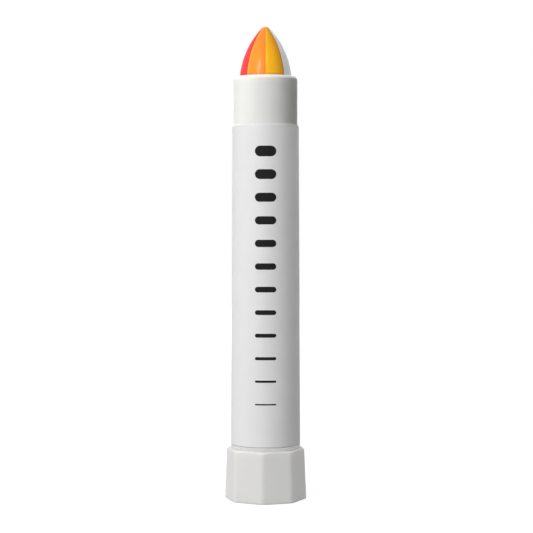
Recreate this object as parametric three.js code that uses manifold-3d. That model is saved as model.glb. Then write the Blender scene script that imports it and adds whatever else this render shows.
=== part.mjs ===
// A twist-up solid paint marker: a stick of eight paints, pushed out of a moulded barrel by a screw
// that the eight-sided knob turns. It stands upright on the knob, with +Z up the axis.
import * as THREE from "three";
import { mergeVertices } from "three/addons/utils/BufferGeometryUtils.js";
import Module from "manifold-3d";

const wasm = await Module();
wasm.setup();

// Driving dimensions, in millimetres. Heights run up from the base of the knob.

// Stick of paint, and its tip: a curved side that meets the stick smoothly, with a small ball at the point.
const STICK_RADIUS = 6.5;
const TIP_SIDE_RADIUS = 20;
const TIP_POINT_RADIUS = 1.45;
const TIP_PROJECTION = 12.37;

// Barrel: nose collar, body that widens by its draft towards the tail, and the spigot inside the knob.
const NOSE_WALL = 1.2;
const NOSE_LENGTH = 11.95;
const NOSE_ROUNDING = 0.85;
const NOSE_MOUTH_ROUNDING = 0.25;
const SHOULDER_STEP = 0.22;
const BODY_DRAFT = 0.38;
const BODY_LENGTH = 78.85;
const BODY_EDGE_ROUNDING = 0.06;
const SPIGOT_WALL = 0.8;
const SPIGOT_CHAMFER = 0.3;

// Knob: an eight-sided cup with a round neck under the body. Its walls are measured at the middle of a side,
// thinnest at the rim. The rim is crowned: it is turned round the axis, and falls away towards the corners.
const KNOB_SIDES = 8;
const KNOB_HEIGHT = 12.75;
const KNOB_NECK_HEIGHT = 0.8;
const KNOB_RIM_WALL = 1.12;
const KNOB_DRAFT = 0.49;
const KNOB_CORNER_ROUNDING = 1;
const KNOB_CORNER_DROP = 0.55;
const KNOB_RIM_ROUNDING = 0.25;
const KNOB_BASE_ROUNDING = 0.3;
const KNOB_TURN_DEGREES = -5;
const KNOB_FLOOR = 1.2;
const KNOB_FOOT_WIDTH = 2.4;
const KNOB_RECESS_DEPTH = 0.6;
const KNOB_HUB_WALL = 1.7;
const KNOB_MOUTH_CHAMFER = 0.25;
const KNOB_SOCKET_FLOOR = 1;

// Label: a film wrapped round the body, with its seam at the back.
const LABEL_THICKNESS = 0.13;
const LABEL_TAIL_MARGIN = 0.15;
const LABEL_SHOULDER_MARGIN = 0.3;
const LABEL_SEAM = 0.2;

// Screw: a left-hand thread, so that the stick comes out as the knob is turned clockwise seen from its end.
const THREAD_HAND = -1;
const THREAD_LEAD = 4;
const THREAD_CORE_RADIUS = 1.9;
const THREAD_DEPTH = 0.7;
const THREAD_CREST_WIDTH = 1;
const THREAD_FLANK_SPREAD = 0.4;
const THREAD_RELIEF = 0.5;

// Spindle: the parts below its thread.
const JOURNAL_STEP = 0.2;
const FLANGE_RADIUS = 4.3;
const FLANGE_THICKNESS = 1.1;
const FOOT_ACROSS_FLATS = 4.4;
const SNAP_BEAD_REACH = 0.35;
const SNAP_BEAD_HEIGHT = 0.8;
const SPINDLE_POINT = 0.9;

// Carrier: the cup under the stick, with the nut in its hub.
const CARRIER_FLOOR = 1.6;
const CUP_DEPTH = 4;
const CUP_WALL = 0.75;
const NUT_LENGTH = 8;
const NUT_WALL = 0.85;
const RETRACT_TRAVEL = 13;
const EXTEND_TRAVEL = 48;

// Keys of the carrier and of the plug, in keyways that run up the bore of the barrel.
const KEY_COUNT = 2;
const KEY_WIDTH = 2;
const KEY_REACH = 0.35;

// End plug and the seal ring in it.
const PLUG_RISE = 0.45;
const PLUG_STEP = 0.3;
const PLUG_WALL = 1;
const PLUG_ROOF = 1.5;
const PLUG_SLEEVE_LENGTH = 4.4;
const PLUG_SKIRT_LENGTH = 7;
const SEAL_SECTION_RADIUS = 0.5;

// Clearances.
const SEAT_GAP = 0.02;
const STICK_CLEARANCE = 0.15;
const CARRIER_CLEARANCE = 0.2;
const KEY_CLEARANCE = 0.15;
const RUNNING_CLEARANCE = 0.1;
const KNOB_CLEARANCE = 0.15;
const TWIST_GAP = 0.15;
const THREAD_CLEARANCE = 0.2;
const STOP_GAP = 0.6;
const SPIGOT_END_GAP = 1.8;

// Facets of round pieces, of the stick of paint, of the screw in one turn, of a curve in an outline, and of
// one side of the knob.
const ROUND_STEPS = 48;
const STICK_STEPS = 32;
const THREAD_STEPS = 16;
const ARC_STEPS = 3;
const SIDE_STEPS = 4;

// Radii that follow from the stick outwards.
const boreRadius = STICK_RADIUS + STICK_CLEARANCE;
const carrierRadius = boreRadius - CARRIER_CLEARANCE;
const keyRadius = boreRadius + KEY_REACH;
const plugSeatRadius = boreRadius + PLUG_STEP;
const noseRadius = boreRadius + NOSE_WALL;
const shoulderRadius = noseRadius + SHOULDER_STEP;
const tailRadius = shoulderRadius + BODY_DRAFT;
const spigotRadius = plugSeatRadius + SPIGOT_WALL;
const knobBoreRadius = spigotRadius + KNOB_CLEARANCE;
const knobRimSide = knobBoreRadius + KNOB_RIM_WALL;
const knobBaseSide = knobRimSide + KNOB_DRAFT;
const knobCornerCentre = (knobRimSide - KNOB_CORNER_ROUNDING) / Math.cos(Math.PI / KNOB_SIDES);
const crownReach = knobCornerCentre + KNOB_CORNER_ROUNDING - tailRadius;
const crownRadius = (crownReach ** 2 + KNOB_CORNER_DROP ** 2) / (2 * KNOB_CORNER_DROP);
const threadRadius = THREAD_CORE_RADIUS + THREAD_DEPTH;
const journalRadius = threadRadius + JOURNAL_STEP;
const nutRadius = threadRadius + THREAD_CLEARANCE + NUT_WALL;
const sealPocketRadius = journalRadius + 2 * (SEAL_SECTION_RADIUS + RUNNING_CLEARANCE / 2);

// Heights that follow from the knob upwards.
const knobFloorTop = KNOB_RECESS_DEPTH + KNOB_FLOOR;
const neckTop = KNOB_HEIGHT + KNOB_NECK_HEIGHT;
const bodyBottom = neckTop + TWIST_GAP;
const shoulderHeight = bodyBottom + BODY_LENGTH;
const rimHeight = shoulderHeight + NOSE_LENGTH;
const spigotBottom = knobFloorTop + SPIGOT_END_GAP;
const plugTop = bodyBottom + PLUG_RISE;
const plugSleeveBottom = plugTop - PLUG_SLEEVE_LENGTH;
const flangeTop = plugSleeveBottom - RUNNING_CLEARANCE;
const flangeBottom = flangeTop - FLANGE_THICKNESS;
const footBottom = knobFloorTop + KNOB_SOCKET_FLOOR;
const beadBottom = plugTop + RUNNING_CLEARANCE;
const beadTop = beadBottom + SNAP_BEAD_HEIGHT;
const carrierBottom = beadTop + STOP_GAP + RETRACT_TRAVEL;
const cupHeight = CARRIER_FLOOR + CUP_DEPTH;
const spindleTop = carrierBottom + NUT_LENGTH + EXTEND_TRAVEL + SPINDLE_POINT + STOP_GAP;
const stickBoreTop = spindleTop + RETRACT_TRAVEL + STOP_GAP;
const keywayTop = carrierBottom + cupHeight + EXTEND_TRAVEL + STOP_GAP;

// A geometry as a solid that can be joined and cut.
function solidOf(geometry) {
  const bare = geometry.clone();
  bare.deleteAttribute("normal");
  bare.deleteAttribute("uv");
  const merged = mergeVertices(bare, 1e-5);
  const corners = merged.index.array;
  const kept = [];
  for (let i = 0; i < corners.length; i += 3) {
    const [a, b, c] = [corners[i], corners[i + 1], corners[i + 2]];
    if (a !== b && b !== c && c !== a) kept.push(a, b, c);
  }
  const mesh = new wasm.Mesh({
    numProp: 3,
    vertProperties: merged.attributes.position.array,
    triVerts: new Uint32Array(kept),
  });
  return new wasm.Manifold(mesh);
}

function geometryOf(solid) {
  const mesh = solid.getMesh();
  const geometry = new THREE.BufferGeometry();
  geometry.setAttribute("position", new THREE.BufferAttribute(mesh.vertProperties, 3));
  geometry.setIndex(new THREE.BufferAttribute(mesh.triVerts, 1));
  geometry.computeVertexNormals();
  return geometry;
}

function join(first, ...others) {
  return geometryOf(others.reduce((solid, other) => solid.add(solidOf(other)), solidOf(first)));
}

function cut(first, ...tools) {
  return geometryOf(tools.reduce((solid, tool) => solid.subtract(solidOf(tool)), solidOf(first)));
}

// A closed outline of radius and height, drawn anticlockwise with the axis on its left, turned round +Z.
// start and sweep are angles from +X.
function revolve(outline, steps, start = 0, sweep = 2 * Math.PI) {
  const closed = [...outline, outline[0]];
  const geometry = new THREE.LatheGeometry(closed, steps, start + Math.PI / 2, sweep);
  return geometry.rotateX(Math.PI / 2);
}

// The same, over part of a turn, with a flat face at each end.
function revolveSector(outline, steps, start, sweep) {
  const skin = revolve(outline, steps, start, sweep).toNonIndexed();
  const positions = Array.from(skin.attributes.position.array);
  const triangles = THREE.ShapeUtils.triangulateShape(outline, []);
  const place = (corner, angle) => [
    outline[corner].x * Math.cos(angle),
    outline[corner].x * Math.sin(angle),
    outline[corner].y,
  ];
  for (const [a, b, c] of triangles) {
    for (const corner of [a, b, c]) positions.push(...place(corner, start));
    for (const corner of [c, b, a]) positions.push(...place(corner, start + sweep));
  }
  const geometry = new THREE.BufferGeometry();
  geometry.setAttribute("position", new THREE.Float32BufferAttribute(positions, 3));
  return geometryOf(solidOf(geometry));
}

// Rings of points, lowest first and anticlockwise seen from above, joined by a skin and closed at both ends.
function loft(rings) {
  const count = rings[0].length;
  const positions = [];
  const face = (...points) => points.forEach((point) => positions.push(...point));
  for (let level = 1; level < rings.length; level++) {
    const [low, high] = [rings[level - 1], rings[level]];
    for (let i = 0; i < count; i++) {
      const next = (i + 1) % count;
      face(low[i], low[next], high[next]);
      face(low[i], high[next], high[i]);
    }
  }
  const [bottom, top] = [rings[0], rings[rings.length - 1]];
  for (let i = 1; i < count - 1; i++) {
    face(bottom[0], bottom[i + 1], bottom[i]);
    face(top[0], top[i], top[i + 1]);
  }
  const geometry = new THREE.BufferGeometry();
  geometry.setAttribute("position", new THREE.Float32BufferAttribute(positions, 3));
  return geometry;
}

// A section of radius and offset along the axis, swept up a helix of the screw's lead into one solid.
// Its turn depends on its height alone, so that what is cut with it on a spindle and in a nut meshes.
function helix(section, bottom, top) {
  const rise = THREAD_LEAD / THREAD_STEPS;
  const firstStep = Math.floor(bottom / rise);
  const steps = Math.ceil(top / rise) - firstStep;
  const positions = [];
  for (let step = 0; step <= steps; step++) {
    const height = (firstStep + step) * rise;
    const angle = (THREAD_HAND * 2 * Math.PI * height) / THREAD_LEAD;
    for (const [radius, offset] of section) {
      positions.push(radius * Math.cos(angle), radius * Math.sin(angle), height + offset);
    }
  }
  const triangles = [];
  const face = (a, b, c) => triangles.push(...(THREAD_HAND < 0 ? [a, c, b] : [a, b, c]));
  const sides = section.length;
  for (let step = 0; step < steps; step++) {
    for (let side = 0; side < sides; side++) {
      const here = step * sides + side;
      const beside = step * sides + ((side + 1) % sides);
      face(here, here + sides, beside + sides);
      face(here, beside + sides, beside);
    }
  }
  const last = steps * sides;
  face(0, 1, 2);
  face(0, 2, 3);
  face(last, last + 2, last + 1);
  face(last, last + 3, last + 2);
  const geometry = new THREE.BufferGeometry();
  geometry.setAttribute("position", new THREE.Float32BufferAttribute(positions, 3));
  geometry.setIndex(triangles);
  return geometry;
}

// Blocks that reach out from an inner radius, one for each key or keyway.
function keyBlocks(inner, reach, width, bottom, top) {
  return Array.from({ length: KEY_COUNT }, (_, key) => {
    const block = new THREE.BoxGeometry(reach - inner, width, top - bottom);
    block.translate((reach + inner) / 2, 0, (top + bottom) / 2);
    return block.rotateZ((2 * Math.PI * key) / KEY_COUNT);
  });
}

// The curved side of the tip is an arc round a centre beyond the axis; a ball of TIP_POINT_RADIUS,
// centred on the axis, touches it from inside and makes the point.
function tipOutline(sidePoints, ballPoints) {
  const arcCentre = STICK_RADIUS - TIP_SIDE_RADIUS;
  const ballRise = Math.sqrt((TIP_SIDE_RADIUS - TIP_POINT_RADIUS) ** 2 - arcCentre ** 2);
  const tipBase = rimHeight + TIP_PROJECTION - TIP_POINT_RADIUS - ballRise;
  const meetAngle = Math.atan2(ballRise, -arcCentre);
  const points = [];
  for (let i = 0; i <= sidePoints; i++) {
    const angle = (meetAngle * i) / sidePoints;
    const radius = arcCentre + TIP_SIDE_RADIUS * Math.cos(angle);
    points.push(new THREE.Vector2(radius, tipBase + TIP_SIDE_RADIUS * Math.sin(angle)));
  }
  for (let i = 1; i <= ballPoints; i++) {
    const angle = meetAngle + ((Math.PI / 2 - meetAngle) * i) / ballPoints;
    const radius = i < ballPoints ? TIP_POINT_RADIUS * Math.cos(angle) : 0;
    points.push(new THREE.Vector2(radius, tipBase + ballRise + TIP_POINT_RADIUS * Math.sin(angle)));
  }
  return points;
}

// One paint of the stick, from the floor of the carrier's cup to the tip, bored for the hub and spindle.
function paintSector(index, count) {
  const hubBore = nutRadius + SEAT_GAP;
  const hubTop = carrierBottom + NUT_LENGTH + SEAT_GAP;
  const spindleBore = threadRadius + THREAD_CLEARANCE;
  const footRadius = carrierRadius - CUP_WALL - SEAT_GAP;
  const footHeight = carrierBottom + CARRIER_FLOOR + SEAT_GAP;
  const cupTop = carrierBottom + cupHeight + SEAT_GAP;
  const outline = [
    new THREE.Vector2(hubBore, footHeight),
    new THREE.Vector2(footRadius, footHeight),
    new THREE.Vector2(footRadius, cupTop),
    new THREE.Vector2(STICK_RADIUS, cupTop),
    ...tipOutline(9, 3),
    new THREE.Vector2(0, stickBoreTop),
    new THREE.Vector2(spindleBore, stickBoreTop),
    new THREE.Vector2(spindleBore, hubTop),
    new THREE.Vector2(hubBore, hubTop),
  ];
  const sweep = (2 * Math.PI) / count;
  return revolveSector(outline, STICK_STEPS / count, index * sweep, sweep);
}

// Radius of the drafted body at a height.
function bodyRadius(height) {
  return tailRadius - (BODY_DRAFT * (height - bodyBottom)) / BODY_LENGTH;
}

function barrel() {
  const outline = new THREE.Path();
  outline.moveTo(plugSeatRadius, spigotBottom);
  outline.lineTo(spigotRadius - SPIGOT_CHAMFER, spigotBottom);
  outline.lineTo(spigotRadius, spigotBottom + SPIGOT_CHAMFER);
  outline.lineTo(spigotRadius, bodyBottom);
  outline.lineTo(tailRadius - BODY_EDGE_ROUNDING, bodyBottom);
  outline.lineTo(tailRadius, bodyBottom + BODY_EDGE_ROUNDING);
  outline.lineTo(shoulderRadius, shoulderHeight - BODY_EDGE_ROUNDING);
  outline.lineTo(shoulderRadius - BODY_EDGE_ROUNDING, shoulderHeight);
  outline.lineTo(noseRadius, shoulderHeight);
  const rimCentre = noseRadius - NOSE_ROUNDING;
  outline.absarc(rimCentre, rimHeight - NOSE_ROUNDING, NOSE_ROUNDING, 0, Math.PI / 2);
  const mouthCentre = boreRadius + NOSE_MOUTH_ROUNDING;
  outline.absarc(mouthCentre, rimHeight - NOSE_MOUTH_ROUNDING, NOSE_MOUTH_ROUNDING, Math.PI / 2, Math.PI);
  outline.lineTo(boreRadius, plugTop + SEAT_GAP);
  outline.lineTo(plugSeatRadius, plugTop + SEAT_GAP);
  const shell = revolve(outline.getPoints(ARC_STEPS), ROUND_STEPS);
  const keywayWidth = KEY_WIDTH + 2 * KEY_CLEARANCE;
  const keywayRadius = keyRadius + KEY_CLEARANCE;
  const keyways = keyBlocks(carrierRadius, keywayRadius, keywayWidth, spigotBottom - 1, keywayTop);
  return cut(shell, ...keyways);
}

function label() {
  const bottom = bodyBottom + LABEL_TAIL_MARGIN;
  const top = shoulderHeight - LABEL_SHOULDER_MARGIN;
  const outline = [
    new THREE.Vector2(bodyRadius(bottom) + SEAT_GAP, bottom),
    new THREE.Vector2(bodyRadius(bottom) + SEAT_GAP + LABEL_THICKNESS, bottom),
    new THREE.Vector2(bodyRadius(top) + SEAT_GAP + LABEL_THICKNESS, top),
    new THREE.Vector2(bodyRadius(top) + SEAT_GAP, top),
  ];
  const seam = new THREE.BoxGeometry(LABEL_SEAM, tailRadius, 2 * BODY_LENGTH);
  seam.translate(0, tailRadius, shoulderHeight);
  return cut(revolve(outline, ROUND_STEPS), seam);
}

function endPlug() {
  const outerRadius = plugSeatRadius - SEAT_GAP;
  const sleeveRadius = sealPocketRadius + PLUG_WALL;
  const boreOfJournal = journalRadius + RUNNING_CLEARANCE;
  const pocketTop = plugSleeveBottom + 2 * SEAL_SECTION_RADIUS + RUNNING_CLEARANCE;
  const outline = [
    new THREE.Vector2(outerRadius, plugTop - PLUG_SKIRT_LENGTH),
    new THREE.Vector2(outerRadius, plugTop),
    new THREE.Vector2(boreOfJournal, plugTop),
    new THREE.Vector2(boreOfJournal, pocketTop),
    new THREE.Vector2(sealPocketRadius, pocketTop),
    new THREE.Vector2(sealPocketRadius, plugSleeveBottom),
    new THREE.Vector2(sleeveRadius, plugSleeveBottom),
    new THREE.Vector2(sleeveRadius, plugTop - PLUG_ROOF),
    new THREE.Vector2(outerRadius - PLUG_WALL, plugTop - PLUG_ROOF),
    new THREE.Vector2(outerRadius - PLUG_WALL, plugTop - PLUG_SKIRT_LENGTH),
  ];
  const keys = keyBlocks(outerRadius - PLUG_WALL, keyRadius, KEY_WIDTH, plugTop - PLUG_ROOF, plugTop);
  return join(revolve(outline, ROUND_STEPS), ...keys);
}

function sealRing() {
  const ringRadius = (journalRadius + sealPocketRadius) / 2;
  const ring = new THREE.TorusGeometry(ringRadius, SEAL_SECTION_RADIUS, 8, STICK_STEPS);
  return ring.translate(0, 0, plugSleeveBottom + SEAL_SECTION_RADIUS + RUNNING_CLEARANCE / 2);
}

// One level of the knob's sides, drawn in by an inset: rounded corners, with points along the flat between.
function knobRing(height, inset) {
  const halfSide = Math.PI / KNOB_SIDES;
  const side = knobBaseSide - (KNOB_DRAFT * height) / KNOB_HEIGHT;
  const centreDistance = (side - KNOB_CORNER_ROUNDING) / Math.cos(halfSide);
  const firstCorner = THREE.MathUtils.degToRad(KNOB_TURN_DEGREES) - Math.PI / 2;
  const radius = KNOB_CORNER_ROUNDING - inset;
  const cornerPoint = (corner, share) => {
    const direction = firstCorner + 2 * halfSide * corner;
    const angle = direction + halfSide * share;
    return new THREE.Vector3(
      centreDistance * Math.cos(direction) + radius * Math.cos(angle),
      centreDistance * Math.sin(direction) + radius * Math.sin(angle),
      height,
    );
  };
  const ring = [];
  for (let corner = 0; corner < KNOB_SIDES; corner++) {
    for (let step = 0; step < ARC_STEPS; step++) {
      ring.push(cornerPoint(corner, (2 * step) / ARC_STEPS - 1));
    }
    const flatStart = cornerPoint(corner, 1);
    const flatEnd = cornerPoint(corner + 1, -1);
    for (let step = 0; step < SIDE_STEPS; step++) {
      ring.push(flatStart.clone().lerp(flatEnd, step / SIDE_STEPS));
    }
  }
  return ring;
}

// One level of the knob's rim. From stage 0 to 1 it rounds off the sides, and up to stage 2 it runs in over
// the crown to the neck, which has the radius of the body.
function rimRing(stage) {
  return knobRing(KNOB_HEIGHT, 0).map((point) => {
    const side = Math.hypot(point.x, point.y);
    const reach = side - KNOB_RIM_ROUNDING - tailRadius;
    const rise = Math.sqrt((crownRadius - KNOB_RIM_ROUNDING) ** 2 - reach ** 2);
    const meetAngle = Math.atan2(rise, reach);
    const onCrown = stage > 1;
    const angle = onCrown ? meetAngle + (Math.PI / 2 - meetAngle) * (stage - 1) : meetAngle * stage;
    const arcRadius = onCrown ? crownRadius : KNOB_RIM_ROUNDING;
    const radius = (onCrown ? tailRadius : side - KNOB_RIM_ROUNDING) + arcRadius * Math.cos(angle);
    const centreHeight = KNOB_HEIGHT - crownRadius + (onCrown ? 0 : rise);
    const height = centreHeight + arcRadius * Math.sin(angle);
    return new THREE.Vector3((point.x * radius) / side, (point.y * radius) / side, height);
  });
}

function knobBody() {
  const rings = [];
  for (let step = 0; step <= ARC_STEPS; step++) {
    const angle = (Math.PI / 2) * (step / ARC_STEPS);
    const rise = KNOB_BASE_ROUNDING * (1 - Math.cos(angle));
    rings.push(knobRing(rise, KNOB_BASE_ROUNDING * (1 - Math.sin(angle))));
  }
  for (let step = 0; step <= 2 * ARC_STEPS; step++) rings.push(rimRing(step / ARC_STEPS));
  rings.push(rimRing(2).map((point) => point.setZ(neckTop)));
  return loft(rings);
}

function knob() {
  const hubTop = flangeBottom - SEAT_GAP;
  const socketCorner = (FOOT_ACROSS_FLATS / 2 + SEAT_GAP) / Math.cos(Math.PI / 6);
  const hubRadius = socketCorner + KNOB_HUB_WALL;
  const recessRadius = knobBaseSide - KNOB_FOOT_WIDTH;
  const cavity = revolve(
    [
      new THREE.Vector2(hubRadius, knobFloorTop),
      new THREE.Vector2(knobBoreRadius, knobFloorTop),
      new THREE.Vector2(knobBoreRadius, neckTop - KNOB_MOUTH_CHAMFER),
      new THREE.Vector2(knobBoreRadius + KNOB_MOUTH_CHAMFER, neckTop),
      new THREE.Vector2(knobBoreRadius + KNOB_MOUTH_CHAMFER, neckTop + 1),
      new THREE.Vector2(0, neckTop + 1),
      new THREE.Vector2(0, hubTop),
      new THREE.Vector2(hubRadius, hubTop),
    ],
    ROUND_STEPS,
  );
  const recess = revolve(
    [
      new THREE.Vector2(0, -1),
      new THREE.Vector2(recessRadius, -1),
      new THREE.Vector2(recessRadius, KNOB_RECESS_DEPTH),
      new THREE.Vector2(0, KNOB_RECESS_DEPTH),
    ],
    ROUND_STEPS,
  );
  const socketBottom = footBottom - SEAT_GAP;
  const socket = new THREE.CylinderGeometry(socketCorner, socketCorner, hubTop + 1 - socketBottom, 6);
  socket.rotateX(Math.PI / 2).translate(0, 0, (hubTop + 1 + socketBottom) / 2);
  return cut(knobBody(), cavity, recess, socket);
}

// The spindle's thread is the ridge that a helical groove leaves on a rod. The groove runs out at both ends,
// so that the nut can come down to the foot of the thread.
function threadedRod(threadBottom) {
  const rod = revolve(
    [
      new THREE.Vector2(0, threadBottom),
      new THREE.Vector2(threadRadius, threadBottom),
      new THREE.Vector2(threadRadius, spindleTop - SPINDLE_POINT),
      new THREE.Vector2(threadRadius - SPINDLE_POINT, spindleTop),
      new THREE.Vector2(0, spindleTop),
    ],
    THREAD_STEPS,
  );
  const halfRoot = (THREAD_LEAD - THREAD_CREST_WIDTH) / 2 - THREAD_FLANK_SPREAD;
  const halfMouth = halfRoot + 2 * THREAD_FLANK_SPREAD;
  const groove = helix(
    [
      [THREAD_CORE_RADIUS, -halfRoot],
      [THREAD_CORE_RADIUS + 2 * THREAD_DEPTH, -halfMouth],
      [THREAD_CORE_RADIUS + 2 * THREAD_DEPTH, halfMouth],
      [THREAD_CORE_RADIUS, halfRoot],
    ],
    threadBottom - halfMouth,
    spindleTop + THREAD_LEAD,
  );
  return cut(rod, groove);
}

// Below the thread: the snap bead over the plug, the journal, the flange under it and the foot in the knob.
function spindle() {
  const beadRadius = journalRadius + SNAP_BEAD_REACH;
  const threadBottom = beadTop + THREAD_RELIEF;
  const journal = revolve(
    [
      new THREE.Vector2(0, flangeBottom),
      new THREE.Vector2(FLANGE_RADIUS, flangeBottom),
      new THREE.Vector2(FLANGE_RADIUS, flangeTop),
      new THREE.Vector2(journalRadius, flangeTop),
      new THREE.Vector2(journalRadius, beadBottom),
      new THREE.Vector2(beadRadius, beadBottom + SNAP_BEAD_REACH),
      new THREE.Vector2(THREAD_CORE_RADIUS, beadTop),
      new THREE.Vector2(THREAD_CORE_RADIUS, threadBottom),
      new THREE.Vector2(0, threadBottom + THREAD_CORE_RADIUS),
    ],
    THREAD_STEPS,
  );
  const footCorner = FOOT_ACROSS_FLATS / 2 / Math.cos(Math.PI / 6);
  const footReach = flangeBottom + FLANGE_THICKNESS / 2 - footBottom;
  const foot = new THREE.CylinderGeometry(footCorner, footCorner, footReach, 6);
  foot.rotateX(Math.PI / 2).translate(0, 0, footBottom + footReach / 2);
  return join(threadedRod(threadBottom), journal, foot);
}

// The nut's thread is cut by a ridge like the spindle's, half a lead from the groove and larger all round.
function carrier() {
  const cupInside = carrierRadius - CUP_WALL;
  const cup = revolve(
    [
      new THREE.Vector2(0, carrierBottom),
      new THREE.Vector2(carrierRadius, carrierBottom),
      new THREE.Vector2(carrierRadius, carrierBottom + cupHeight),
      new THREE.Vector2(cupInside, carrierBottom + cupHeight),
      new THREE.Vector2(cupInside, carrierBottom + CARRIER_FLOOR),
      new THREE.Vector2(nutRadius, carrierBottom + CARRIER_FLOOR),
      new THREE.Vector2(nutRadius, carrierBottom + NUT_LENGTH),
      new THREE.Vector2(0, carrierBottom + NUT_LENGTH),
    ],
    ROUND_STEPS,
  );
  const keyInside = carrierRadius - CUP_WALL / 2;
  const keys = keyBlocks(keyInside, keyRadius, KEY_WIDTH, carrierBottom, carrierBottom + cupHeight);
  const tapRadius = THREAD_CORE_RADIUS + THREAD_CLEARANCE;
  const drill = revolve(
    [
      new THREE.Vector2(0, carrierBottom - 1),
      new THREE.Vector2(tapRadius, carrierBottom - 1),
      new THREE.Vector2(tapRadius, carrierBottom + NUT_LENGTH + 1),
      new THREE.Vector2(0, carrierBottom + NUT_LENGTH + 1),
    ],
    THREAD_STEPS,
  );
  const halfCrest = THREAD_CREST_WIDTH / 2 + THREAD_CLEARANCE;
  const halfRoot = halfCrest + THREAD_FLANK_SPREAD;
  const halfLead = THREAD_LEAD / 2;
  const tap = helix(
    [
      [THREAD_CORE_RADIUS, halfLead - halfRoot],
      [threadRadius + THREAD_CLEARANCE, halfLead - halfCrest],
      [threadRadius + THREAD_CLEARANCE, halfLead + halfCrest],
      [THREAD_CORE_RADIUS, halfLead + halfRoot],
    ],
    carrierBottom - 2 * THREAD_LEAD,
    carrierBottom + NUT_LENGTH + THREAD_LEAD,
  );
  return cut(join(cup, ...keys), drill, tap);
}

// Finishes, each a colour with its roughness.
const whitePlastic = new THREE.MeshStandardMaterial({ color: 0xebebe8, roughness: 0.35 });
const milkyPlastic = new THREE.MeshStandardMaterial({ color: 0xdcdcd8, roughness: 0.4 });
const greyFilm = new THREE.MeshStandardMaterial({ color: 0xd6d6d6, roughness: 0.45 });
const blackRubber = new THREE.MeshStandardMaterial({ color: 0x1c1c1c, roughness: 0.7 });

// The eight paints of the stick, anticlockwise from +X seen from the tip.
const PAINTS = [
  { name: "paint_crimson", color: 0x8c1030 },
  { name: "paint_orange_rear", color: 0xfc8f35 },
  { name: "paint_yellow_rear", color: 0xf8b732 },
  { name: "paint_white_rear", color: 0xf0f0f2 },
  { name: "paint_red", color: 0xfb4650 },
  { name: "paint_orange_front", color: 0xfc9038 },
  { name: "paint_yellow_front", color: 0xf8b832 },
  { name: "paint_white_front", color: 0xeeeef2 },
];

function piece(name, geometry, material) {
  const mesh = new THREE.Mesh(geometry, material);
  mesh.name = name;
  return mesh;
}

const marker = new THREE.Group();

const barrelGroup = new THREE.Group();
barrelGroup.add(
  piece("barrel", barrel(), whitePlastic),
  piece("label", label(), greyFilm),
  piece("end_plug", endPlug(), whitePlastic),
  piece("seal_ring", sealRing(), blackRubber),
);

const knobGroup = new THREE.Group();
knobGroup.add(
  piece("knob", knob(), milkyPlastic),
  piece("spindle", spindle(), milkyPlastic),
);

const stickGroup = new THREE.Group();
stickGroup.add(piece("carrier", carrier(), whitePlastic));
PAINTS.forEach(({ name, color }, index) => {
  const paint = new THREE.MeshStandardMaterial({ color, roughness: 0.3 });
  stickGroup.add(piece(name, paintSector(index, PAINTS.length), paint));
});

marker.add(barrelGroup, knobGroup, stickGroup);

export default marker;
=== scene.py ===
"""A twist-up solid paint marker: the looks of its pieces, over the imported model."""
import math

import bmesh
import bpy
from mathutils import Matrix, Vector, noise


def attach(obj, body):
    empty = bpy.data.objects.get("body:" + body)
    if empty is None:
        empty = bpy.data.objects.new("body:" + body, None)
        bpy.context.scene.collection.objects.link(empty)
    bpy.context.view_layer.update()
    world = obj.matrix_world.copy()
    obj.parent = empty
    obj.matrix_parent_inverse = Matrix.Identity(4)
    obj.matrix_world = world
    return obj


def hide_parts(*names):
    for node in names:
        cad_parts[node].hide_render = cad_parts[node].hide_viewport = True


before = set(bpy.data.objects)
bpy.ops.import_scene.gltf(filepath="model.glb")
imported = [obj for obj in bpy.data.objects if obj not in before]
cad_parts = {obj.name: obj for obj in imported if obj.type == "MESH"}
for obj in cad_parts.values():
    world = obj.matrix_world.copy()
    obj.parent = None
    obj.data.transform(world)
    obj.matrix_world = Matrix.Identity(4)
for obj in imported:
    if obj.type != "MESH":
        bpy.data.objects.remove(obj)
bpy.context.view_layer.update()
MM = 0.001


# Barrel: one moulding of dull white plastic that light soaks into, with the nose that the paint comes
# out of, a small shoulder, the drafted body and the spigot that the knob turns on. Its bore has two
# keyways, open at the tail, that stop the carrier turning.
BORE_RADIUS = 6.65 * MM
NOSE_RADIUS = 7.85 * MM
SHOULDER_RADIUS = 8.07 * MM
TAIL_RADIUS = 8.45 * MM
SPIGOT_RADIUS = 7.75 * MM
PLUG_SEAT_RADIUS = 6.95 * MM
SPIGOT_BOTTOM = 3.6 * MM
BODY_BOTTOM = 13.7 * MM
PLUG_TOP = 14.15 * MM
SHOULDER_HEIGHT = 92.55 * MM
RIM_HEIGHT = 104.5 * MM
KEYWAY_TOP = 82.85 * MM
KEYWAY_RADIUS = 7.15 * MM
KEYWAY_WIDTH = 2.3 * MM
KEYWAY_OVERLAP = 0.5 * MM
WHITE_PLASTIC = (0.81, 0.807, 0.775, 1)
SCUFFED_PLASTIC = (0.6, 0.6, 0.58, 1)
PEEL_DEPTH = 0.004 * MM
ROUND_STEPS = 192
EDGE_SUPPORT = 0.12 * MM
SHARP_ANGLE = math.radians(35)


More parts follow.
